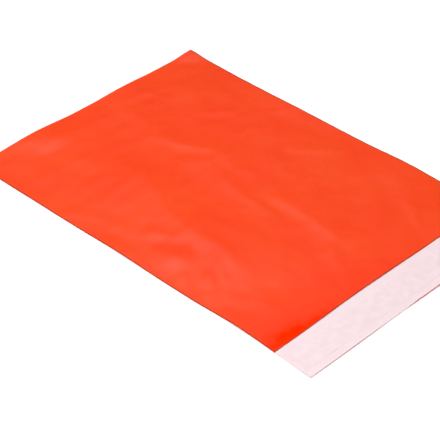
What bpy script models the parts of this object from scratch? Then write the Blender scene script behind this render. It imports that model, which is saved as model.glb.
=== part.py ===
"""A 12 x 16 inch poly mailer bag, empty and unused, lying face up on a table.

The bag is one blank of film. It is folded once across its far end, so that it has a front
panel and a back panel, and its two sides are welded. The back panel runs on past the mouth
as a lip, and the lip carries a strip of adhesive under a release liner. Three solids:

    film_bag         the folded and welded film, hollow, and open at the mouth
    adhesive_strip   the hot-melt strip on the lip
    release_liner    the peel-off tape over the adhesive

Metres, +Z up. +X runs across the bag and +Y from the mouth to the closed fold. The origin
is on the table, under the middle of the bag with its lip.
"""
import math

import bmesh
import bpy

# Cut sizes of the bag
BAG_WIDTH = 0.3048
BAG_LENGTH = 0.4064
LIP_LENGTH = 0.046
FILM_THICKNESS = 0.00006
WELD_WIDTH = 0.003
FOLD_PRESS = 0.001

# The strip on the lip and the liner that covers it
ADHESIVE_WIDTH = 0.020
ADHESIVE_THICKNESS = 0.00004
LINER_WIDTH = 0.0254
LINER_THICKNESS = 0.00006
MOUTH_TO_LINER = 0.0115
STACK_CLEARANCE = 0.0001

# How far the film stands up from lying dead flat
MOUTH_GAP = 0.00015
PANEL_SLACK = 0.00025
PUFF_HEIGHT = 0.0020
CREASE_HEIGHT = 0.0008
EDGE_LIFT = 0.0025
LIP_LIFT = 0.0012

# How far the film takes to rise to that from its seams, its mouth and the foot of a crease
SEAM_FADE = 0.032
CREASE_FADE = 0.009
CREASE_REACH = 0.010
MOUTH_FADE = 0.030
LIP_CURL_REACH = 0.032

# How far the puffs draw the sides in, the corner of the lip flares out and the mouth bows in
SIDE_DRAW = 0.0030
CORNER_FLARE = 0.0014
CORNER_REACH = 0.110
MOUTH_BOW = 0.0008
MOUTH_BOW_REACH = 0.090

# Steps of the film's grid, across the bag and along it
COLUMNS = 30
ROWS = 40

# Places that follow from the sizes
HALF_WIDTH = BAG_WIDTH / 2
FOLD_Y = (BAG_LENGTH + LIP_LENGTH) / 2
MOUTH_Y = FOLD_Y - BAG_LENGTH
LIP_END_Y = MOUTH_Y - LIP_LENGTH
LINER_NEAR_Y = MOUTH_Y - MOUTH_TO_LINER
LINER_FAR_Y = LINER_NEAR_Y - LINER_WIDTH
LINER_OVERHANG = (LINER_WIDTH - ADHESIVE_WIDTH) / 2
ADHESIVE_NEAR_Y = LINER_NEAR_Y - LINER_OVERHANG
ADHESIVE_FAR_Y = LINER_FAR_Y + LINER_OVERHANG

# Puffs of trapped air: share across from the left side, share along from the mouth,
# reach across and along as shares of the width, and share of PUFF_HEIGHT
PUFFS = (
    (0.28, 0.96, 0.12, 0.09, 0.50),
    (0.27, 0.83, 0.07, 0.07, 0.20),
    (0.095, 0.39, 0.095, 0.10, 0.95),
    (0.25, 0.33, 0.30, 0.22, 0.40),
    (0.26, 0.60, 0.22, 0.30, 0.35),
    (0.60, 0.56, 0.20, 0.24, 0.35),
    (0.62, 0.86, 0.10, 0.10, 0.20),
    (0.79, 0.86, 0.10, 0.10, 0.20),
    (0.86, 0.62, 0.18, 0.22, 0.15),
    (0.45, 0.00, 0.26, 0.14, 0.15),
    (0.85, 0.02, 0.16, 0.10, 0.35),
)

# Creases: share of CREASE_HEIGHT, reach on the left and on the right of someone who walks
# the line in multiples of CREASE_REACH, and the line as places in shares of the bag
CREASES = (
    (1.10, 3.0, 1.6, ((0.48, 0.84), (0.54, 0.73), (0.575, 0.67), (0.60, 0.635), (0.64, 0.57))),
    (0.65, 2.6, 1.2, ((0.555, 1.00), (0.56, 0.91), (0.56, 0.83), (0.545, 0.73))),
    (0.80, 2.6, 1.2, ((0.53, 0.56), (0.495, 0.47), (0.487, 0.40), (0.487, 0.30))),
    (1.05, 5.5, 1.5, ((0.555, 0.45), (0.555, 0.30), (0.545, 0.22), (0.52, 0.12))),
    (0.55, 4.5, 1.2, ((0.53, 0.22), (0.47, 0.14), (0.43, 0.09), (0.37, -0.01))),
    (1.60, 6.0, 4.8, ((0.32, 0.86), (0.335, 0.72), (0.31, 0.63), (0.265, 0.54), (0.235, 0.34))),
    (2.00, 9.0, 3.8, ((0.26, 0.55), (0.237, 0.43), (0.235, 0.31), (0.19, 0.25), (0.13, 0.19))),
    (1.10, 2.2, 2.6, ((0.13, 0.52), (0.16, 0.46), (0.19, 0.40))),
    (0.40, 1.6, 1.2, ((0.00, 0.70), (0.06, 0.65), (0.12, 0.58))),
    (0.60, 0.9, 0.9, ((0.00, 0.26), (0.05, 0.31), (0.10, 0.35))),
    (0.60, 0.8, 0.8, ((0.01, 0.20), (0.08, 0.25), (0.15, 0.30))),
    (0.60, 4.0, 1.1, ((0.76, 0.52), (0.83, 0.46), (0.89, 0.41), (0.94, 0.37))),
    (0.30, 2.0, 0.9, ((0.72, 0.79), (0.78, 0.74), (0.83, 0.68))),
    (0.50, 1.6, 1.0, ((0.67, 0.97), (0.70, 0.92), (0.74, 0.86))),
    (0.50, 0.9, 3.0, ((0.74, 0.04), (0.80, 0.10), (0.86, 0.15))),
    (0.50, 2.0, 1.2, ((0.13, 0.17), (0.14, 0.12), (0.13, 0.08))),
)

# Stretches of the rim that curl up off the table: share across, share along, reach across
# and along as shares of the width, and share of EDGE_LIFT
RIM_CURLS = (
    (0.00, 0.76, 0.09, 0.24, 0.20),
    (0.00, 0.12, 0.10, 0.11, 0.30),
    (0.00, 0.50, 0.07, 0.16, 0.30),
    (1.00, 0.64, 0.11, 0.32, 0.65),
    (1.00, 0.24, 0.16, 0.16, 0.60),
    (0.25, 1.00, 0.18, 0.14, 1.00),
    (0.66, 1.00, 0.15, 0.13, 0.50),
    (1.00, 1.00, 0.10, 0.10, 0.90),
)

# Stretches of the lip's cut end that curl up: share across, reach across, share of LIP_LIFT
LIP_CURLS = (
    (0.16, 0.24, 0.50),
    (0.92, 0.24, 1.20),
    (0.40, 1.50, 0.22),
)

# Stretches of the two sides that the puffs draw in: side, share along, reach as a share of
# the length, and share of SIDE_DRAW
DRAWN_SIDES = (
    (-1, 0.13, 0.13, 0.40),
    (-1, 0.51, 0.20, 0.30),
    (-1, -0.14, 0.20, -1.00),
    (1, 0.68, 0.26, 0.90),
    (1, 0.46, 0.16, 0.27),
)


def hump(distance, reach):
    """1 at no distance, falling smoothly to exactly 0 at the reach and beyond it."""
    share = min(abs(distance) / reach, 1.0)
    return (1.0 - share * share) ** 2


def ease(distance, reach):
    """0 at no distance, rising smoothly to 1 at the reach."""
    share = min(max(distance / reach, 0.0), 1.0)
    return share * share * (3.0 - 2.0 * share)


def place(across, along):
    """The point on the table at these shares of the bag's width and length."""
    return (across - 0.5) * BAG_WIDTH, MOUTH_Y + along * BAG_LENGTH


def bump_at(x, y, across, along, reach_across, reach_along):
    """A rounded bump, 1 high, round a place given in shares of the bag."""
    centre_x, centre_y = place(across, along)
    away = math.hypot((x - centre_x) / reach_across, (y - centre_y) / reach_along)
    return hump(away, BAG_WIDTH)


def crease_at(x, y, left_reach, right_reach, line):
    """A crease, 1 high on its line, falling on both sides and fading out at both ends."""
    points = [place(*shares) for shares in line]
    nearest, walked, total, reach = math.inf, 0.0, 0.0, left_reach
    for (ax, ay), (bx, by) in zip(points, points[1:]):
        run_x, run_y = bx - ax, by - ay
        length = math.hypot(run_x, run_y)
        share = ((x - ax) * run_x + (y - ay) * run_y) / length ** 2
        share = min(max(share, 0.0), 1.0)
        off_x, off_y = x - ax - share * run_x, y - ay - share * run_y
        distance = math.hypot(off_x, off_y)
        if distance < nearest:
            nearest, walked = distance, total + share * length
            reach = left_reach if run_x * off_y > run_y * off_x else right_reach
        total += length
    fade = ease(min(walked, total - walked), total / 3)
    return max(1.0 - nearest / (reach * CREASE_REACH), 0.0) ** 2 * fade


def settled(x, y):
    """Where a point of the flat blank ends up: the puffs draw it in, and a lip corner flares."""
    shift = 0.0
    for side, along, reach, share in DRAWN_SIDES:
        if side * x > 0:
            shift -= side * SIDE_DRAW * share * hump(y - place(0.5, along)[1], reach * BAG_LENGTH)
    flare = CORNER_FLARE * hump(x + HALF_WIDTH, CORNER_REACH) * hump(y - MOUTH_Y, CORNER_REACH / 2)
    bow = MOUTH_BOW * hump(x - place(0.42, 0.0)[0], MOUTH_BOW_REACH) * hump(y - MOUTH_Y, CORNER_REACH)
    return x + shift * (abs(x) / HALF_WIDTH) ** 4, y - flare + bow


def table_gap(x, y):
    """How far the underside of the film is off the table: 0 but near the curled edges."""
    lift = sum(EDGE_LIFT * share * bump_at(x, y, *where) for *where, share in RIM_CURLS)
    for across, reach, share in LIP_CURLS:
        curl = hump(x - place(across, 0.0)[0], reach * BAG_WIDTH)
        lift += LIP_LIFT * share * curl * hump(y - LIP_END_Y, LIP_CURL_REACH)
    return lift


def air_gap(x, y):
    """The space between the two panels: least at the seams and the mouth, most in a puff."""
    slack = MOUTH_GAP + PANEL_SLACK * ease(y - MOUTH_Y, MOUTH_FADE)
    slack += sum(PUFF_HEIGHT * share * bump_at(x, y, *where) for *where, share in PUFFS)
    folded = sum(CREASE_HEIGHT * share * crease_at(x, y, *crease) for share, *crease in CREASES)
    to_seam = min(HALF_WIDTH - WELD_WIDTH - abs(x), FOLD_Y - FOLD_PRESS - y)
    return ease(to_seam, SEAM_FADE) * slack + ease(to_seam, CREASE_FADE) * folded


def steps(start, end, count):
    """Evenly spaced values from start to end, both included."""
    return [start + (end - start) * step / count for step in range(count + 1)]


def across_stations():
    """The grid's lines across the bag, with one on each inner line of the side welds."""
    inner = HALF_WIDTH - WELD_WIDTH
    return [-HALF_WIDTH] + steps(-inner, inner, COLUMNS) + [HALF_WIDTH]


def film_layer(bm, xs, ys, height):
    """Rows of vertices over the given stations, at the height that a function gives."""
    return [[bm.verts.new((*settled(x, y), height(x, y))) for x in xs] for y in ys]


def fill_layer(bm, layer):
    """Quads between neighbouring rows, all starting at the same corner."""
    for near, far in zip(layer, layer[1:]):
        fill_between(bm, near, far)


def fill_between(bm, near, far):
    """Quads between two rows of as many vertices."""
    for left in range(len(near) - 1):
        bm.faces.new((near[left], near[left + 1], far[left + 1], far[left]))


def column(layer, index):
    """One column of a layer, from its near row to its far row."""
    return [row[index] for row in layer]


def finish_object(bm, name, colour, roughness):
    """Split the quads alike in every layer, face them outwards and make the object."""
    bmesh.ops.triangulate(bm, faces=bm.faces, quad_method="FIXED", ngon_method="BEAUTY")
    bmesh.ops.recalc_face_normals(bm, faces=bm.faces)
    mesh = bpy.data.meshes.new(name)
    bm.to_mesh(mesh)
    bm.free()
    mesh.shade_smooth()
    material = bpy.data.materials.new(name)
    material.use_nodes = True
    shader = material.node_tree.nodes["Principled BSDF"]
    shader.inputs["Base Color"].default_value = (*colour, 1.0)
    shader.inputs["Roughness"].default_value = roughness
    shader.inputs["Metallic"].default_value = 0.0
    mesh.materials.append(material)
    piece = bpy.data.objects.new(name, mesh)
    bpy.context.collection.objects.link(piece)
    return piece


def lip_top(x, y):
    """The height of the lip's upper face, which is the inside of the film."""
    return table_gap(x, y) + FILM_THICKNESS


def panel_top(x, y):
    """The height of the front panel's outer face, also where it is welded or folded."""
    return table_gap(x, y) + 2 * FILM_THICKNESS + air_gap(x, y)


def panel_inside(x, y):
    """The height of the front panel's inner face."""
    return lip_top(x, y) + air_gap(x, y)


def make_film_bag():
    """The folded film as one hollow solid, open at the mouth."""
    bm = bmesh.new()
    xs = across_stations()
    inner_xs = xs[1:-1]
    lip_ys = [LIP_END_Y, LINER_FAR_Y, ADHESIVE_FAR_Y, ADHESIVE_NEAR_Y, LINER_NEAR_Y]
    panel_ys = steps(MOUTH_Y, FOLD_Y - FOLD_PRESS, ROWS)
    all_panel_ys = panel_ys + [FOLD_Y]

    underside = film_layer(bm, xs, lip_ys + all_panel_ys, table_gap)
    front = film_layer(bm, xs, all_panel_ys, panel_top)
    lip = film_layer(bm, xs, lip_ys + [MOUTH_Y], lip_top)
    back_inside = [lip[-1][1:-1]] + film_layer(bm, inner_xs, panel_ys[1:], lip_top)

    # The panels' inner faces share their vertices along both welds and the fold
    front_inside = []
    for back_row, y in zip(back_inside[:-1], panel_ys):
        middle = film_layer(bm, inner_xs[1:-1], [y], panel_inside)[0]
        front_inside.append([back_row[0]] + middle + [back_row[-1]])
    front_inside.append(back_inside[-1])

    for layer in (underside, front, lip, back_inside, front_inside):
        fill_layer(bm, layer)

    # The film's cut edges: the lip's end, the front panel's mouth and the ends of the welds
    fill_between(bm, underside[0], lip[0])
    fill_between(bm, front_inside[0], front[0][1:-1])
    fill_between(bm, lip[-1][:2], front[0][:2])
    fill_between(bm, lip[-1][-2:], front[0][-2:])

    # The outer face of the fold, and the bag's two sides
    fill_between(bm, underside[-1], front[-1])
    mouth_row = len(lip_ys)
    for side in (0, -1):
        low, high = column(underside, side), column(front, side)
        fill_between(bm, low[:mouth_row + 1], column(lip, side))
        bm.faces.new((low[mouth_row], low[mouth_row + 1], high[1], high[0], lip[-1][side]))
        fill_between(bm, low[mouth_row + 1:], high[1:])

    return finish_object(bm, "film_bag", (1.0, 0.075, 0.02), 0.4)


def make_strip(name, ys, height_over_lip, thickness, colour, roughness):
    """A thin band across the lip, which follows the lip's own facets."""
    bm = bmesh.new()
    xs = across_stations()
    low = film_layer(bm, xs, ys, lambda x, y: lip_top(x, y) + height_over_lip)
    high = film_layer(bm, xs, ys, lambda x, y: lip_top(x, y) + height_over_lip + thickness)
    fill_layer(bm, low)
    fill_layer(bm, high)
    for end in (0, -1):
        fill_between(bm, low[end], high[end])
        fill_between(bm, column(low, end), column(high, end))
    return finish_object(bm, name, colour, roughness)


def make_adhesive_strip():
    """The hot-melt adhesive on the lip."""
    ys = [ADHESIVE_FAR_Y, ADHESIVE_NEAR_Y]
    colour = (0.86, 0.80, 0.70)
    return make_strip("adhesive_strip", ys, STACK_CLEARANCE, ADHESIVE_THICKNESS, colour, 0.3)


def make_release_liner():
    """The liner over the adhesive, a little wider than the adhesive on both sides."""
    ys = [LINER_FAR_Y, ADHESIVE_FAR_Y, ADHESIVE_NEAR_Y, LINER_NEAR_Y]
    height = 2 * STACK_CLEARANCE + ADHESIVE_THICKNESS
    colour = (0.93, 0.76, 0.79)
    return make_strip("release_liner", ys, height, LINER_THICKNESS, colour, 0.5)


for old in list(bpy.data.objects):
    bpy.data.objects.remove(old, do_unlink=True)

make_film_bag()
make_adhesive_strip()
make_release_liner()
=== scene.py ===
# %% [markdown]
# # A poly mailer bag on a white table
# A poly mailer is the bag that clothes are posted in. It is one sheet of plastic film, folded at its
# far end, welded down both sides and left open at the near end. Beyond the opening the back panel
# runs on as a lip, with a strip of glue under a tape that is peeled off once.
# This lesson dresses a plain model of that bag. The plain model, or frame, gives the sizes, and
# everything here is in metres in the same place as the frame, so nothing has to be fitted.

# %% Load the frame
import math

import bmesh
import bpy
import numpy as np
from mathutils import Matrix, Vector, noise


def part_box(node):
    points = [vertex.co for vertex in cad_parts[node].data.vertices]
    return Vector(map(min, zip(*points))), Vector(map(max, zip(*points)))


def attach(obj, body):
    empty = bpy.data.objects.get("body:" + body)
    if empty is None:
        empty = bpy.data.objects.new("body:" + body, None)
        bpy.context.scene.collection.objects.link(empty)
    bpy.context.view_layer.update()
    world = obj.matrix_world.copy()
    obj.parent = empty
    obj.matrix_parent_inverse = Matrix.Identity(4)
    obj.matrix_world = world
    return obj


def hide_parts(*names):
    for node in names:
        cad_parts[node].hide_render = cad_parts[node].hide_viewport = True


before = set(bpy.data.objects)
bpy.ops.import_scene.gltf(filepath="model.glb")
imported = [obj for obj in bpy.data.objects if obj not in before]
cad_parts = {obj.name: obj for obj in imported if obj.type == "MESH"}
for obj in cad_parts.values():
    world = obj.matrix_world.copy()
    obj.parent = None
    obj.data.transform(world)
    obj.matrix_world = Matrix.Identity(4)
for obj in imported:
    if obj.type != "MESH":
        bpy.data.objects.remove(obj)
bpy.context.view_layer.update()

print("frame nodes:", ", ".join(sorted(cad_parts)))

# %% [markdown]
# ## Sizes
# The cut sizes come from the frame's own boxes. One corner of the lip flares out past the left side and
# the lip's end, so the width is read on the right and the length at the far end. Only what a box can't
# tell is written here: the film's thickness, how wide the welds are, and how much of the length is lip.
# Places on the bag are given as shares: across from the left side, and along from the mouth to the fold.

# %% Read the sizes
MM = 0.001
LIP_LENGTH = 46 * MM
FILM_THICKNESS = 0.06 * MM
WELD_WIDTH = 3 * MM
FOLD_PRESS = 1 * MM

_, bag_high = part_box("film_bag")
liner_low, liner_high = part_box("release_liner")
glue_low, glue_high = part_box("adhesive_strip")
HALF_WIDTH = bag_high.x
BAG_WIDTH = 2 * HALF_WIDTH
FOLD_Y = bag_high.y
LIP_END_Y = -FOLD_Y
MOUTH_Y = LIP_END_Y + LIP_LENGTH
BAG_LENGTH = FOLD_Y - MOUTH_Y
print(f"bag {BAG_WIDTH / MM:.1f} x {BAG_LENGTH / MM:.1f} mm, lip {LIP_LENGTH / MM:.0f} mm")


def place(across, along):
    """The point on the table at these shares of the bag's width and length."""
    return (across - 0.5) * BAG_WIDTH, MOUTH_Y + along * BAG_LENGTH


# %% [markdown]
# ## How the film lies
# Film that has been folded and packed never lies dead flat. It holds puffs of air, it keeps creases
# where it was bent, and its edges curl off the table. Cloth simulation would wrinkle it, but not where
# this bag has its creases, so each one is placed one by one: a puff is a smooth bump, and a crease is a
# line with a slope down from it on either side.
# A hump that reaches exactly 0 at its rim leaves the rest of the film truly flat on the table.

# %% Humps, easing and soft noise
def hump(distance, reach):
    """1 at no distance, falling smoothly to exactly 0 at the reach and beyond it."""
    share = np.minimum(np.abs(distance) / reach, 1.0)
    return (1.0 - share * share) ** 2


def ease(distance, reach):
    """0 at no distance, rising smoothly to 1 at the reach."""
    share = np.clip(distance / reach, 0.0, 1.0)
    return share * share * (3.0 - 2.0 * share)


def bump_at(x, y, across, along, reach_across, reach_along):
    """A rounded bump, 1 high, round a place given in shares of the bag."""
    centre_x, centre_y = place(across, along)
    away = np.hypot((x - centre_x) / reach_across, (y - centre_y) / reach_along)
    return hump(away, BAG_WIDTH)


def soft_noise(x, y, size_x, size_y, layer):
    """Smooth noise from -1 to 1, with swells of the given sizes."""
    def at(one_x, one_y):
        return noise.noise(Vector((one_x / size_x, one_y / size_y, layer)))
    return np.vectorize(at)(x, y)


print(f"half way to its rim, a hump still has {hump(0.5, 1.0):.0%} of its height")

# %% [markdown]
# ## Curled edges
# Where the rim stands 1 or 2 mm off the table, a thin dark line of shadow shows under it. The welds are
# stiffer than the film, and they shrank a little as they cooled, so they ripple. Along the right of the
# lip's cut end the very edge is turned up, and the film's coloured outer face shows as a thin red line.

# %% The underside of the bag
EDGE_LIFT = 2.5 * MM
LIP_LIFT = 1.2 * MM
LIP_CURL_REACH = 32 * MM
RIPPLE_HEIGHT = 0.12 * MM
RIPPLE_LENGTH = 21 * MM
RIPPLE_REACH = 14 * MM
RIPPLE_WANDER = 2.5
WANDER_LENGTH = 1.9 * RIPPLE_LENGTH
TURN_UP_HEIGHT = 1.3 * MM
TURN_UP_WIDTH = 0.35 * MM
TURN_UP_START_X = -28 * MM
TURN_UP_FADE = 22 * MM

# Share across, share along, reach across and along as shares of the width, share of EDGE_LIFT
RIM_CURLS = (
    (0.00, 0.76, 0.09, 0.24, 0.20),
    (0.00, 0.12, 0.10, 0.11, 0.30),
    (0.00, 0.50, 0.07, 0.16, 0.30),
    (1.00, 0.64, 0.11, 0.32, 0.65),
    (1.00, 0.24, 0.16, 0.16, 0.60),
    (0.25, 1.00, 0.18, 0.14, 1.00),
    (0.66, 1.00, 0.15, 0.13, 0.50),
    (1.00, 1.00, 0.10, 0.10, 0.90),
)

# Share across, reach across, share of LIP_LIFT
LIP_CURLS = (
    (0.16, 0.24, 0.50),
    (0.92, 0.24, 1.20),
    (0.40, 1.50, 0.22),
)


def table_gap(x, y):
    """How far the underside of the film is off the table: 0 but near the curled edges."""
    lift = sum(EDGE_LIFT * share * bump_at(x, y, *where) for *where, share in RIM_CURLS)
    for across, reach, share in LIP_CURLS:
        curl = hump(x - place(across, 0.0)[0], reach * BAG_WIDTH)
        lift = lift + LIP_LIFT * share * curl * hump(y - LIP_END_Y, LIP_CURL_REACH)
    cut_end = y < LIP_END_Y + TURN_UP_WIDTH / 2
    turned_up = TURN_UP_HEIGHT * ease(x - TURN_UP_START_X, TURN_UP_FADE) * cut_end
    wander = RIPPLE_WANDER * np.sin(y / WANDER_LENGTH + np.sign(x))
    ripple = 0.5 + 0.5 * np.sin(2 * math.pi * y / RIPPLE_LENGTH + wander)
    return lift + turned_up + RIPPLE_HEIGHT * ripple * hump(HALF_WIDTH - np.abs(x), RIPPLE_REACH)


print(f"the far right corner stands {table_gap(HALF_WIDTH, FOLD_Y) / MM:.1f} mm off the table")

# %% [markdown]
# ## Puffs and creases
# A crease in film is sharp along its crest and fades quickly down both slopes, often more steeply on one
# side. The light that the steep side throws back is what makes a crease show as a pale streak, and the
# long gentle side is why most streaks have no dark line beside them.

# %% Where the puffs and creases are
PUFF_HEIGHT = 2.0 * MM
CREASE_HEIGHT = 0.8 * MM
CREST_RADIUS = 2.0 * MM

# Share across, share along, reach across and along as shares of the width, share of PUFF_HEIGHT
PUFFS = (
    (0.28, 0.96, 0.12, 0.09, 0.50),
    (0.27, 0.83, 0.07, 0.07, 0.20),
    (0.095, 0.39, 0.095, 0.10, 0.95),
    (0.25, 0.33, 0.30, 0.22, 0.40),
    (0.26, 0.60, 0.22, 0.30, 0.35),
    (0.60, 0.56, 0.20, 0.24, 0.35),
    (0.62, 0.86, 0.10, 0.10, 0.20),
    (0.79, 0.86, 0.10, 0.10, 0.20),
    (0.86, 0.62, 0.18, 0.22, 0.15),
    (0.45, 0.00, 0.26, 0.14, 0.15),
    (0.85, 0.02, 0.16, 0.10, 0.35),
)

# Share of CREASE_HEIGHT, reach in mm on the left and on the right of someone who walks the line, and
# the line itself as shares across and along
CREASES = (
    (1.10, 30, 16, ((0.48, 0.84), (0.54, 0.73), (0.575, 0.67), (0.60, 0.635), (0.64, 0.57))),
    (0.65, 26, 12, ((0.555, 1.00), (0.56, 0.91), (0.56, 0.83), (0.545, 0.73))),
    (0.80, 26, 12, ((0.53, 0.56), (0.495, 0.47), (0.487, 0.40), (0.487, 0.30))),
    (1.05, 55, 15, ((0.555, 0.45), (0.555, 0.30), (0.545, 0.22), (0.52, 0.12))),
    (0.55, 45, 12, ((0.53, 0.22), (0.47, 0.14), (0.43, 0.09), (0.37, -0.01))),
    (1.60, 60, 48, ((0.32, 0.86), (0.335, 0.72), (0.31, 0.63), (0.265, 0.54), (0.24, 0.46),
                    (0.235, 0.34))),
    (2.00, 90, 38, ((0.26, 0.55), (0.237, 0.43), (0.235, 0.31), (0.19, 0.25), (0.13, 0.19))),
    (1.10, 22, 26, ((0.13, 0.52), (0.16, 0.46), (0.19, 0.40))),
    (0.40, 16, 12, ((0.00, 0.70), (0.06, 0.65), (0.12, 0.58))),
    (0.60, 9, 9, ((0.00, 0.26), (0.05, 0.31), (0.10, 0.35))),
    (0.60, 8, 8, ((0.01, 0.20), (0.08, 0.25), (0.15, 0.30))),
    (0.50, 7, 8, ((0.10, 0.21), (0.15, 0.26), (0.19, 0.33))),
    (0.60, 40, 11, ((0.76, 0.52), (0.83, 0.46), (0.89, 0.41), (0.94, 0.37))),
    (0.30, 20, 9, ((0.72, 0.79), (0.78, 0.74), (0.83, 0.68))),
    (0.50, 16, 10, ((0.67, 0.97), (0.70, 0.92), (0.74, 0.86))),
    (0.50, 9, 30, ((0.74, 0.04), (0.80, 0.10), (0.86, 0.15))),
    (0.50, 20, 12, ((0.13, 0.17), (0.14, 0.12), (0.13, 0.08))),
)
print(f"{len(PUFFS)} puffs and {len(CREASES)} creases")

# %% [markdown]
# ## From a few places to a smooth crease
# Each crease is three to six given places. A Catmull-Rom curve runs through all of its points
# and needs no handles, so it suits a line that is given that way. The crest is rounded a little, as
# film is too springy to fold to a knife edge unless it is pressed, and both ends ease in and out.

# %% Creases
def smooth_line(points, per_span=6):
    """A smooth curve through the given points, as closer points (a Catmull-Rom curve)."""
    held = np.array([points[0], *points, points[-1]], float)
    curve = []
    for before, start, end, after in zip(held, held[1:], held[2:], held[3:]):
        for step in range(per_span):
            t = step / per_span
            bend = (2 * start + (end - before) * t
                    + (2 * before - 5 * start + 4 * end - after) * t ** 2
                    + (3 * start - before - 3 * end + after) * t ** 3)
            curve.append(bend / 2)
    return np.array(curve + [held[-1]])


def crease_shape(x, y, left_reach, right_reach, line):
    """A crease 1 high: sharp on its line, lower with distance, fading out over a third at each end."""
    points = smooth_line([place(*shares) for shares in line])
    spans = np.diff(points, axis=0)
    lengths = np.hypot(*spans.T)
    starts = np.concatenate([[0.0], np.cumsum(lengths)[:-1]])
    nearest = np.full_like(x, np.inf)
    along = np.zeros_like(x)
    side = np.zeros_like(x)
    for (ax, ay), (run_x, run_y), length, start in zip(points, spans, lengths, starts):
        share = np.clip(((x - ax) * run_x + (y - ay) * run_y) / length ** 2, 0.0, 1.0)
        off_x, off_y = x - ax - share * run_x, y - ay - share * run_y
        distance = np.hypot(off_x, off_y)
        closer = distance < nearest
        nearest = np.where(closer, distance, nearest)
        along = np.where(closer, start + share * length, along)
        side = np.where(closer, run_x * off_y - run_y * off_x, side)
    reach = np.where(side > 0, left_reach, right_reach) * MM
    down = (np.sqrt(nearest ** 2 + CREST_RADIUS ** 2) - CREST_RADIUS) / reach
    to_end = np.minimum(along, lengths.sum() - along)
    return np.clip(1.0 - down, 0.0, 1.0) ** 2 * ease(to_end, lengths.sum() / 3)


first_line = [place(*shares) for shares in CREASES[0][-1]]
print(f"the first crease is {len(first_line)} places and {len(smooth_line(first_line))} points")

# %% [markdown]
# ## The space between the two panels
# The front panel lies on the back one with a little slack, and rises over every puff and crease. Swells
# and crinkles that are too many to place by hand come from noise, which is the same in every run.
# Everything fades to 0 at the welds and the fold: a puff slowly, because the seam holds the film down,
# and a crease quickly, because it can run almost into the seam.

# %% Slack, swells and crinkles
MOUTH_GAP = 0.15 * MM
PANEL_SLACK = 0.25 * MM
SEAM_FADE = 32 * MM
CREASE_FADE = 9 * MM
MOUTH_FADE = 30 * MM

# Height, size across, size along and layer of noise
SWELLS = (
    (0.30 * MM, 45 * MM, 90 * MM, 3.0),
    (0.12 * MM, 24 * MM, 30 * MM, 6.0),
)
CRINKLES = (
    (0.38 * MM, 26 * MM, 17 * MM, 8.0),
    (0.133 * MM, 12 * MM, 9 * MM, 5.0),
)


def uneven(x, y, noises):
    """The sum of a few sizes of noise."""
    return sum(height * soft_noise(x, y, *sizes, layer) for height, *sizes, layer in noises)


def air_gap(x, y):
    """The space between the two panels: least at the seams and the mouth, most in a puff."""
    slack = MOUTH_GAP + PANEL_SLACK * ease(y - MOUTH_Y, MOUTH_FADE) + uneven(x, y, SWELLS)
    for *where, share in PUFFS:
        slack += PUFF_HEIGHT * share * bump_at(x, y, *where)
    folded = uneven(x, y, CRINKLES)
    for share, left_reach, right_reach, line in CREASES:
        folded += CREASE_HEIGHT * share * crease_shape(x, y, left_reach, right_reach, line)
    to_seam = np.minimum(HALF_WIDTH - WELD_WIDTH - np.abs(x), FOLD_Y - FOLD_PRESS - y)
    return np.maximum(ease(to_seam, SEAM_FADE) * slack + ease(to_seam, CREASE_FADE) * folded, 0.0)


print(f"in the middle of the bag the panels are {air_gap(0.0, 0.0) / MM:.2f} mm apart")

# %% [markdown]
# ## Where the blank's points end up
# The blank is cut with straight sides, but a puff takes film from its surroundings, so the sides are
# drawn in by up to 3 mm beside the puffs. The lip's left corner flares out, and the mouth's edge bows in.
# The pull on a side dies away fast towards the middle, with a power of how far out a point lies.
# One function moves a point of the flat blank in the plane, and every layer of film and tape uses it, so
# that they stay in line.

# %% Drawn sides, flared corner, bowed mouth
# Side, share along, reach as a share of the length, how far the side is drawn in, in mm
DRAWN_SIDES = (
    (-1, 0.13, 0.13, 1.2),
    (-1, 0.51, 0.20, 0.9),
    (-1, -0.14, 0.20, -3.0),
    (1, 0.68, 0.26, 2.7),
    (1, 0.46, 0.16, 0.8),
)
PULL_POWER = 4
CORNER_FLARE = 1.4 * MM
CORNER_REACH = 110 * MM
MOUTH_BOW = 0.8 * MM
MOUTH_BOW_ACROSS = 0.42
MOUTH_BOW_REACH = 90 * MM


def settled(x, y):
    """Where a point of the flat blank ends up, in the plane of the table."""
    shift = np.zeros_like(x)
    for side, along, reach, inwards in DRAWN_SIDES:
        near = hump(y - place(0.5, along)[1], reach * BAG_LENGTH) * (np.sign(x) == side)
        shift -= side * inwards * MM * near
    flare = CORNER_FLARE * hump(x + HALF_WIDTH, CORNER_REACH) * hump(y - MOUTH_Y, CORNER_REACH / 2)
    bow_x = x - place(MOUTH_BOW_ACROSS, 0.0)[0]
    bow = MOUTH_BOW * hump(bow_x, MOUTH_BOW_REACH) * hump(y - MOUTH_Y, CORNER_REACH)
    return x + shift * (np.abs(x) / HALF_WIDTH) ** PULL_POWER, y - flare + bow


side_x, _ = settled(*place(1.0, 0.68))
print(f"beside the right puff the side is drawn in by {(HALF_WIDTH - side_x) / MM:.1f} mm")

# %% [markdown]
# ## The film as one mesh
# The film is modelled with its real thickness. Four layers of vertices are laid over one grid: the
# underside, the inside of the back panel with the lip, the inside of the front panel and its outside.
# The two inner layers share their vertices along the welds and the fold, which is what a weld is.

# %% Rows of vertices and quads between them
CELL = 2.6 * MM
SHARP_ANGLE = math.radians(50)


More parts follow.
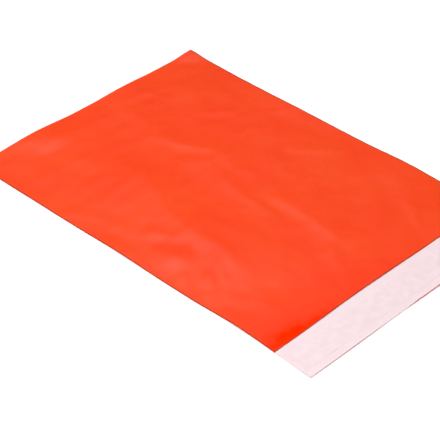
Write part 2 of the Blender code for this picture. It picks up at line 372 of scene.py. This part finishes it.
class FilmMesh:
    """Collects the vertices and quads of one piece, and makes the object."""

    def __init__(self):
        self.points = []
        self.quads = []
        self.faces_of = []

    def layer(self, xs, ys, height):
        """A grid of vertices over the given stations, as rows of their numbers."""
        x, y = np.meshgrid(xs, ys)
        first = len(self.points)
        self.points += np.stack([*settled(x, y), height(x, y)], axis=-1).reshape(-1, 3).tolist()
        return np.arange(first, first + x.size).reshape(x.shape)

    def between(self, near, far, surface):
        """Quads between two rows of as many vertices, with the number of their surface."""
        made = np.stack([near[:-1], near[1:], far[1:], far[:-1]], axis=-1).tolist()
        self.quads += made
        self.faces_of += [surface] * len(made)

    def fill(self, rows, surface):
        """Quads all over a layer."""
        for near, far in zip(rows, rows[1:]):
            self.between(near, far, surface)

    def make(self, name, materials):
        """The object, with its faces turned outwards and smooth but for the cut edges."""
        mesh = bpy.data.meshes.new(name)
        mesh.from_pydata(self.points, [], self.quads)
        for material in materials:
            mesh.materials.append(material)
        mesh.polygons.foreach_set("material_index", self.faces_of)
        bm = bmesh.new()
        bm.from_mesh(mesh)
        bmesh.ops.recalc_face_normals(bm, faces=bm.faces)
        bm.to_mesh(mesh)
        bm.free()
        mesh.shade_smooth()
        mesh.set_sharp_from_angle(angle=SHARP_ANGLE)
        piece = bpy.data.objects.new(name, mesh)
        bpy.context.collection.objects.link(piece)
        top = max(z for _, _, z in self.points)
        print(f"{name}: {len(mesh.polygons)} faces, {top / MM:.2f} mm high")
        return piece


def stations(start, end):
    """Even steps of about one cell from start to end, both included."""
    return np.linspace(start, end, max(round(abs(end - start) / CELL), 1) + 1)


print(f"{len(stations(MOUTH_Y, FOLD_Y))} rows of vertices from the mouth to the fold")

# %% [markdown]
# ## Colours
# Colours are picked as sRGB hex values, as a paint program shows them, while a shader works in linear
# light. One function turns the first into the second.

# %% Hex to linear
def hex_colour(code):
    """A colour such as 'FF5028' as linear red, green, blue and alpha."""
    values = [int(code[start:start + 2], 16) / 255 for start in (0, 2, 4)]
    linear = [v / 12.92 if v <= 0.04045 else ((v + 0.055) / 1.055) ** 2.4 for v in values]
    return (*linear, 1.0)


print(f"the grey 808080 is {hex_colour('808080')[0]:.3f} in linear light")

# %% [markdown]
# ## Nodes
# One helper adds any node. Every film here drifts between two close tones, because its thickness and its
# pigment vary, so a second helper makes that colour from noise of a real size.

# %% Helpers for the materials
def add_node(tree, kind, settings=None, links=None):
    """Adds a node, sets its properties or sockets by name or number, and links its inputs."""
    node = tree.nodes.new(kind)
    for key, value in (settings or {}).items():
        if isinstance(key, str) and hasattr(node, key):
            setattr(node, key, value)
        else:
            node.inputs[key].default_value = value
    for key, source in (links or {}).items():
        tree.links.new(source, node.inputs[key])
    return node


def new_material(name):
    """A material with only its output, and with that its tree and the object coordinates."""
    material = bpy.data.materials.new(name)
    material.use_nodes = True
    tree = material.node_tree
    for node in list(tree.nodes):
        tree.nodes.remove(node)
    output = tree.nodes.new("ShaderNodeOutputMaterial")
    return material, tree, output, add_node(tree, "ShaderNodeTexCoord").outputs["Object"]


def cloudy_colour(tree, spot, size, low, high, start=0.3, end=0.7, detail=3.0):
    """A colour that drifts from low to high, two hex values, in clouds of the given size."""
    cloud = add_node(tree, "ShaderNodeTexNoise", {"Scale": 1 / size, "Detail": detail},
                     {"Vector": spot})
    share = add_node(tree, "ShaderNodeMapRange", {"From Min": start, "From Max": end},
                     {"Value": cloud.outputs["Fac"]})
    tones = add_node(tree, "ShaderNodeMix",
                     {"data_type": "RGBA", 6: hex_colour(low), 7: hex_colour(high)},
                     {"Factor": share.outputs["Result"]})
    return tones.outputs[2]


print(f"clouds of 10 mm need a noise scale of {1 / (10 * MM):.0f}, because the scale is per metre")

# %% [markdown]
# ## A patch of painted shade by the mouth
# By the left end of the mouth the front panel is painted a deeper colour. The deeper colour is painted
# shade. The patch also gets less gloss, so it throws back little sheen. It is a stretched ellipse with a
# ragged rim, in a wide weak halo.
# It loses its gloss in two ways. A lower specular level looks best, but a model that is exported for
# other programs can't hold a level that changes over the surface, so the patch is made rougher as well.

# %% The patch of painted shade
# Where the painted shade by the mouth lies, how it is turned, its size and its ragged rim
PAINTED_SHADE_CENTRE = (-118 * MM, -178 * MM, 0.0)
PAINTED_SHADE_TURN = math.radians(-7)
PAINTED_SHADE_SIZE = (54 * MM, 14 * MM, 1.0)
PAINTED_SHADE_RAG_SIZE = 11 * MM
PAINTED_SHADE_RAG = 1.6

# Distances from the centre, in sizes of the patch: the core with its rag added, and the halo
CORE_RIM, CORE_FULL = 2.7, 1.1
HALO_RIM, HALO_FULL, HALO_STRENGTH = 5.0, 1.0, 0.45


def painted_shade_share(tree, spot):
    """1 in the middle of the patch of painted shade, and 0 away from it."""
    patch = add_node(tree, "ShaderNodeMapping",
                     {"vector_type": "TEXTURE", "Location": PAINTED_SHADE_CENTRE,
                      "Rotation": (0.0, 0.0, PAINTED_SHADE_TURN), "Scale": PAINTED_SHADE_SIZE}, {"Vector": spot})
    away = add_node(tree, "ShaderNodeVectorMath", {"operation": "LENGTH"},
                    {0: patch.outputs["Vector"]}).outputs["Value"]
    rag = add_node(tree, "ShaderNodeTexNoise", {"Scale": 1 / PAINTED_SHADE_RAG_SIZE, "Detail": 3.0},
                   {"Vector": spot})
    ragged = add_node(tree, "ShaderNodeMath", {"operation": "MULTIPLY_ADD", 1: PAINTED_SHADE_RAG},
                      {0: rag.outputs["Fac"], 2: away})
    core = add_node(tree, "ShaderNodeMapRange", {"From Min": CORE_RIM, "From Max": CORE_FULL},
                    {"Value": ragged.outputs["Value"]})
    halo = add_node(tree, "ShaderNodeMapRange",
                    {"From Min": HALO_RIM, "From Max": HALO_FULL, "To Max": HALO_STRENGTH},
                    {"Value": away})
    return add_node(tree, "ShaderNodeMath", {"operation": "MAXIMUM"},
                    {0: core.outputs["Result"], 1: halo.outputs["Result"]}).outputs["Value"]


print(f"the patch is {2 * PAINTED_SHADE_SIZE[0] / MM:.0f} x {2 * PAINTED_SHADE_SIZE[1] / MM:.0f} mm without its rag")

# %% [markdown]
# ## The film's outer face
# Mailer film is blown polyethylene, in two or three layers that are squeezed out together. The outer
# layer holds the pigment. It is satin rather than glossy, because the blown skin freezes with a faint
# roughness, and it is covered in crinkles a few millimetres across that only gloss can show. IOR 1.5 is
# polyethylene's own. The die leaves very faint lines along the way that the film ran, across the bag.
# Real die lines are under a millimetre apart, and 2.2 mm is the finest spacing that shows here.

# %% Orange-red film
CLOUD_SIZE = 70 * MM
DIE_LINE_SPACING = 2.2 * MM
DIE_LINE_LENGTH = 260 * MM
DIE_LINE_DEPTH = 0.02 * MM
CRINKLE_SIZE = 6 * MM
CRINKLE_DEPTH = 0.08 * MM
DIE_LINE_STRENGTH, CRINKLE_STRENGTH = 0.12, 0.35
SMOOTHEST, ROUGHEST, ROUGHER_IN_PAINTED_SHADE = 0.28, 0.36, 0.3
UNSHADED_SHEEN, PAINTED_SHADE_SHEEN = 0.5, 0.0


def make_outer_film():
    """The satin film of the panels, with the patch of painted shade by the mouth on it."""
    material, tree, output, spot = new_material("blown_polyethylene_film_orange")
    painted_shade = painted_shade_share(tree, spot)
    unshaded_colour = cloudy_colour(tree, spot, CLOUD_SIZE, "FF3E00", "FF4703", detail=2.0)
    # The deeper red FF2E00 is painted shade, mixed in over the patch by the mouth
    colour = add_node(tree, "ShaderNodeMix", {"data_type": "RGBA", 7: hex_colour("FF2E00")},
                      {"Factor": painted_shade, 6: unshaded_colour})
    stretch = add_node(tree, "ShaderNodeMapping",
                       {"Scale": (1 / DIE_LINE_LENGTH, 1 / DIE_LINE_SPACING, 1 / DIE_LINE_LENGTH)},
                       {"Vector": spot})
    lines = add_node(tree, "ShaderNodeTexNoise", {"Scale": 1.0, "Detail": 1.0},
                     {"Vector": stretch.outputs["Vector"]})
    crinkle = add_node(tree, "ShaderNodeTexNoise", {"Scale": 1 / CRINKLE_SIZE, "Detail": 3.0},
                       {"Vector": spot})
    satin = add_node(tree, "ShaderNodeMapRange", {"To Min": SMOOTHEST, "To Max": ROUGHEST},
                     {"Value": crinkle.outputs["Fac"]})
    # The patch of painted shade is also rougher and has a lower specular level
    roughness = add_node(tree, "ShaderNodeMath", {"operation": "MULTIPLY_ADD", 1: ROUGHER_IN_PAINTED_SHADE},
                         {0: painted_shade, 2: satin.outputs["Result"]})
    sheen = add_node(tree, "ShaderNodeMapRange", {"To Min": UNSHADED_SHEEN, "To Max": PAINTED_SHADE_SHEEN},
                     {"Value": painted_shade})
    fine = add_node(tree, "ShaderNodeBump",
                    {"Strength": DIE_LINE_STRENGTH, "Distance": DIE_LINE_DEPTH},
                    {"Height": lines.outputs["Fac"]})
    relief = add_node(tree, "ShaderNodeBump",
                      {"Strength": CRINKLE_STRENGTH, "Distance": CRINKLE_DEPTH},
                      {"Height": crinkle.outputs["Fac"], "Normal": fine.outputs["Normal"]})
    shader = add_node(tree, "ShaderNodeBsdfPrincipled", {"IOR": 1.5},
                      {"Base Color": colour.outputs[2],
                       "Roughness": roughness.outputs["Value"],
                       "Specular IOR Level": sheen.outputs["Result"],
                       "Normal": relief.outputs["Normal"]})
    tree.links.new(shader.outputs["BSDF"], output.inputs["Surface"])
    print(f"{material.name}: {len(tree.nodes)} nodes")
    return material


outer_film = make_outer_film()

# %% [markdown]
# ## The other films
# The bag's inner layer is white polyethylene, thin enough for the orange behind it to tint it pink.
# A hot knife cuts and welds the sides in one stroke, and the molten edge draws back into a bead that is
# clearer than the film. Its dark red is partly the weld's own colour and partly painted shade along the
# bag's side. The mouth's cut edge gets the same dark red strip, which there is painted shade under the
# front panel's edge. The weld beads are really about half a millimetre wide. The lines are drawn 1.3 mm
# wide, because finer ones wouldn't show at this distance.
# Each of these is the same plain recipe with tones, a cloud size and a roughness of its own.

# %% A recipe for plain film
def make_plain_film(name, size, low, high, roughness, ior=1.5, **clouds):
    """An even film whose colour drifts between two hex values."""
    material, tree, output, spot = new_material(name)
    colour = cloudy_colour(tree, spot, size, low, high, **clouds)
    shader = add_node(tree, "ShaderNodeBsdfPrincipled", {"IOR": ior, "Roughness": roughness},
                      {"Base Color": colour})
    tree.links.new(shader.outputs["BSDF"], output.inputs["Surface"])
    print(f"{name}: {len(tree.nodes)} nodes")
    return material


inner_film = make_plain_film("blown_polyethylene_film_white", 18 * MM, "F9E0E4", "FBE6E8", 0.42)
# The beads' dark red is partly weld colour and partly painted shade along the edges
weld_and_painted_edge_shade = make_plain_film("fused_weld_and_painted_edge_shade", 4 * MM, "B42E0C", "CC3A12", 0.25, detail=2.0)

# %% [markdown]
# ## Making the bag
# The grid's lines run across and along the bag. Extra lines bound the beads and the turned-up end of the
# lip, so that each is one narrow strip of quads.

# %% The heights of the layers
BEAD_WIDTH = 1.3 * MM
BEAD_HEIGHT = 0.10 * MM


def lip_top(x, y):
    """The height of the film's inner face on the lip and the back panel."""
    return table_gap(x, y) + FILM_THICKNESS


def panel_inside(x, y):
    """The height of the front panel's inner face."""
    return lip_top(x, y) + air_gap(x, y)


def panel_top(x, y):
    """The height of the front panel's outer face, also where it is welded or folded."""
    bead = BEAD_HEIGHT * (np.abs(x) > HALF_WIDTH - BEAD_WIDTH / 2)
    return panel_inside(x, y) + FILM_THICKNESS + bead


weld_height = panel_top(HALF_WIDTH, 0.0) - table_gap(HALF_WIDTH, 0.0)
print(f"the weld is {weld_height / MM:.2f} mm thick with its bead")

# %% [markdown]
# ## One closed solid
# The inside of the back panel starts from the lip's last row, so that the two are one sheet that runs on
# under the mouth. The first and last columns and the last row of the front panel's inside are set to the
# back panel's own vertices, which joins the panels for good. Strips of quads then close the cut edges.

# %% The film bag
# Faces: the outer film, the inner film, and the dark red of welds and painted edge shade
OUTSIDE, INSIDE, WELD_AND_PAINTED_SHADE = 0, 1, 2


def make_film_bag():
    """The whole bag as one closed solid of film, hollow between its panels."""
    film = FilmMesh()
    weld_x = HALF_WIDTH - WELD_WIDTH
    inner_xs = stations(-weld_x, weld_x)
    left_xs = [-HALF_WIDTH, BEAD_WIDTH - HALF_WIDTH]
    xs = np.concatenate([left_xs, inner_xs, [HALF_WIDTH - BEAD_WIDTH, HALF_WIDTH]])
    inner = slice(len(left_xs), -len(left_xs))
    lip_ys = np.append(LIP_END_Y, stations(LIP_END_Y + TURN_UP_WIDTH, MOUTH_Y))
    panel_ys = np.append(MOUTH_Y, stations(MOUTH_Y + BEAD_WIDTH, FOLD_Y - FOLD_PRESS))
    all_ys = np.append(panel_ys, FOLD_Y)

    under = film.layer(xs, np.concatenate([lip_ys[:-1], all_ys]), table_gap)
    front = film.layer(xs, all_ys, panel_top)
    lip = film.layer(xs, lip_ys, lip_top)
    back_inside = np.vstack([lip[-1][inner], film.layer(inner_xs, panel_ys[1:], lip_top)])
    front_inside = film.layer(inner_xs, panel_ys, panel_inside)
    front_inside[:, 0] = back_inside[:, 0]
    front_inside[:, -1] = back_inside[:, -1]
    front_inside[-1] = back_inside[-1]

    film.fill(under, OUTSIDE)
    film.fill(front[1:, 1:-1], OUTSIDE)
    # The mouth's first row gets the beads' dark red as painted shade under the panel's edge
    film.fill(front[:2, 1:-1], WELD_AND_PAINTED_SHADE)
    film.fill(front[:, :2], WELD_AND_PAINTED_SHADE)
    film.fill(front[:, -2:], WELD_AND_PAINTED_SHADE)
    for rows in (lip, back_inside, front_inside):
        film.fill(rows, INSIDE)

    # The cut edges, the outer face of the fold and the two sides
    film.between(under[0], lip[0], OUTSIDE)
    film.between(front_inside[0], front[0][inner], OUTSIDE)
    film.between(lip[-1][:3], front[0][:3], OUTSIDE)
    film.between(lip[-1][-3:], front[0][-3:], OUTSIDE)
    film.between(under[-1], front[-1], OUTSIDE)
    mouth_row = len(lip_ys) - 1
    for side in (0, -1):
        low, high = under[:, side], front[:, side]
        film.between(low[:mouth_row + 1], lip[:, side], OUTSIDE)
        film.quads.append([low[mouth_row], low[mouth_row + 1], high[1], high[0], lip[-1][side]])
        film.faces_of.append(WELD_AND_PAINTED_SHADE)
        film.between(low[mouth_row + 1:], high[1:], WELD_AND_PAINTED_SHADE)
    return film.make("mailer_film", [outer_film, inner_film, weld_and_painted_edge_shade])


film_bag = make_film_bag()
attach(film_bag, "root")
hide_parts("film_bag")

# %% [markdown]
# ## The strip on the lip
# The glue is a hot-melt adhesive, laid on as a wide thin stripe. A release liner covers it: a film with
# a silicone coat that glue doesn't hold on to. The liner is about as pale as the lip. The glue under it
# is uneven, which shows through as faint blotches 8 mm or so across, so clouds of that size tint the
# liner. Both strips follow the lip's own height, or they would cut through it where it curls.

# %% Glue and liner
GLUE_OVER_LIP = 0.03 * MM
GLUE_THICKNESS = 0.04 * MM
LINER_OVER_LIP = 0.09 * MM
LINER_THICKNESS = 0.06 * MM


def make_strip(name, far_y, near_y, over_lip, thickness, material):
    """A thin band across the lip that follows the lip's own height."""
    strip = FilmMesh()
    xs = stations(-HALF_WIDTH, HALF_WIDTH)
    ys = stations(far_y, near_y)
    low = strip.layer(xs, ys, lambda x, y: lip_top(x, y) + over_lip)
    high = strip.layer(xs, ys, lambda x, y: lip_top(x, y) + over_lip + thickness)
    strip.fill(low, 0)
    strip.fill(high, 0)
    for end in (0, -1):
        strip.between(low[end], high[end], 0)
        strip.between(low[:, end], high[:, end], 0)
    return strip.make(name, [material])


hot_melt = make_plain_film("hot_melt_adhesive", 7 * MM, "EED6D8", "FAE6E8", 0.3, ior=1.48,
                           start=0.4, end=0.62)
glue = make_strip("hot_melt_strip", glue_low.y, glue_high.y, GLUE_OVER_LIP, GLUE_THICKNESS, hot_melt)
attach(glue, "root")
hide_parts("adhesive_strip")

release_film = make_plain_film("siliconised_release_film", 8 * MM, "F6DDE1", "FCE5E8", 0.38,
                               start=0.34, end=0.60, detail=5.0)
liner = make_strip("liner_tape", liner_low.y, liner_high.y, LINER_OVER_LIP, LINER_THICKNESS,
                   release_film)
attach(liner, "root")
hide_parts("release_liner")

# %% [markdown]
# ## The table
# A plain white table, large enough that its edges never show. Close to the bag it is a white board that
# takes the bag's shadow. Further off the lamps no longer reach it, so it glows up to full white there,
# but only for rays that show it to the eye, directly or in a reflection: it lights nothing.

# %% White table
TABLE_SIZE = 30.0
TABLE_DROP = 0.2 * MM
GLOW_BY_BAG, GLOW_FAR_OFF = 0.13, 1.0
GLOW_STARTS, GLOW_IS_FULL = 0.35, 1.3


def make_table():
    """A large white square just under the bag."""
    mesh = bpy.data.meshes.new("table_top")
    half = TABLE_SIZE / 2
    corners = [(-half, -half, 0), (half, -half, 0), (half, half, 0), (-half, half, 0)]
    mesh.from_pydata(corners, [], [(0, 1, 2, 3)])
    material, tree, output, spot = new_material("matt_white_board")
    board = add_node(tree, "ShaderNodeBsdfDiffuse", {"Color": hex_colour("FCFCFC")})
    path = add_node(tree, "ShaderNodeLightPath").outputs
    seen = add_node(tree, "ShaderNodeMath", {"operation": "ADD"},
                    {0: path["Is Camera Ray"], 1: path["Is Glossy Ray"]})
    seen = add_node(tree, "ShaderNodeMath", {"operation": "ADD", "use_clamp": True},
                    {0: seen.outputs["Value"], 1: path["Is Transmission Ray"]})
    away = add_node(tree, "ShaderNodeVectorMath", {"operation": "LENGTH"}, {0: spot})
    rise = add_node(tree, "ShaderNodeMapRange",
                    {"From Min": GLOW_STARTS, "From Max": GLOW_IS_FULL, "To Min": GLOW_BY_BAG,
                     "To Max": GLOW_FAR_OFF}, {"Value": away.outputs["Value"]})
    strength = add_node(tree, "ShaderNodeMath", {"operation": "MULTIPLY"},
                        {0: seen.outputs["Value"], 1: rise.outputs["Result"]})
    glow = add_node(tree, "ShaderNodeEmission", links={"Strength": strength.outputs["Value"]})
    shader = add_node(tree, "ShaderNodeAddShader",
                      links={0: board.outputs["BSDF"], 1: glow.outputs["Emission"]})
    tree.links.new(shader.outputs["Shader"], output.inputs["Surface"])
    mesh.materials.append(material)
    table = bpy.data.objects.new("table_top", mesh)
    table.location.z = -TABLE_DROP
    bpy.context.collection.objects.link(table)
    print(f"the table is {TABLE_SIZE:.0f} m square and {TABLE_DROP / MM:.1f} mm under the bag")
    return table


make_table()

# %% [markdown]
# ## Light
# The room is white but dim. A broad soft box stands far behind the bag, close to where a mirror in place
# of the bag would show it: flat film throws a little of it back, and every slope that turns towards it
# shows as a pale streak. A small soft box on the left and one overhead give the even light under that.
# They are just bright enough for the white lip to come out as its hex value.

# %% Soft boxes and the room
ROOM_BRIGHTNESS = 0.12


def add_soft_box(name, azimuth, elevation, distance, size, strength):
    """A square lamp that faces the bag, placed by angles: azimuth 0 is +Y, and 90 is -X."""
    lamp = bpy.data.lights.new(name, "AREA")
    lamp.shape = "SQUARE"
    lamp.size = size
    lamp.energy = strength
    box = bpy.data.objects.new(name, lamp)
    turn, rise = math.radians(azimuth), math.radians(elevation)
    toward = Vector((-math.sin(turn) * math.cos(rise), math.cos(turn) * math.cos(rise), math.sin(rise)))
    box.location = toward * distance
    box.rotation_euler = toward.to_track_quat("Z", "Y").to_euler()
    bpy.context.collection.objects.link(box)
    print(f"{name}: {size} m square, {distance} m away, {strength} W")


add_soft_box("streak_soft_box", azimuth=-30, elevation=60, distance=6.0, size=3.6, strength=58)
add_soft_box("left_soft_box", azimuth=70, elevation=45, distance=2.0, size=1.2, strength=16)
add_soft_box("overhead_soft_box", azimuth=110, elevation=82, distance=1.9, size=1.5, strength=23.5)

world = bpy.data.worlds.new("white_room")
world.use_nodes = True
room = world.node_tree.nodes["Background"].inputs
room["Color"].default_value = hex_colour("FFFFFF")
room["Strength"].default_value = ROOM_BRIGHTNESS
bpy.context.scene.world = world
bpy.context.scene.view_settings.view_transform = "Standard"

# %% [markdown]
# ## Camera
# The camera looks at the bag from its near left through a long lens, so that the bag's sides stay almost
# parallel. These angles and distances put the corners of a 12 x 16 inch bag where the picture has them.
# The picture's side and the focal length are in pixels, and the sensor's width is in millimetres.

# %% Camera
PICTURE_SIDE = 440
FOCAL_LENGTH = 1815
SENSOR = 36.0
CAMERA_TARGET = Vector((-0.0470, -0.0121, 0.0))
CAMERA_DISTANCE = 1.7489
CAMERA_AZIMUTH = math.radians(-46.20)
CAMERA_ELEVATION = math.radians(36.82)
CAMERA_ROLL = math.radians(0.51)

backward = Vector((math.sin(CAMERA_AZIMUTH) * math.cos(CAMERA_ELEVATION),
                   -math.cos(CAMERA_AZIMUTH) * math.cos(CAMERA_ELEVATION),
                   math.sin(CAMERA_ELEVATION)))
level_right = Vector((math.cos(CAMERA_AZIMUTH), math.sin(CAMERA_AZIMUTH), 0.0))
level_up = backward.cross(level_right)
right = math.cos(CAMERA_ROLL) * level_right + math.sin(CAMERA_ROLL) * level_up
up = math.cos(CAMERA_ROLL) * level_up - math.sin(CAMERA_ROLL) * level_right

lens = bpy.data.cameras.new("camera")
lens.sensor_width = SENSOR
lens.lens = SENSOR * FOCAL_LENGTH / PICTURE_SIDE
camera = bpy.data.objects.new("camera", lens)
camera.matrix_world = (Matrix.Translation(CAMERA_TARGET + backward * CAMERA_DISTANCE)
                       @ Matrix((right, up, backward)).transposed().to_4x4())
bpy.context.collection.objects.link(camera)
bpy.context.scene.camera = camera
print(f"the lens is {lens.lens:.1f} mm long, {CAMERA_DISTANCE:.2f} m from the bag")
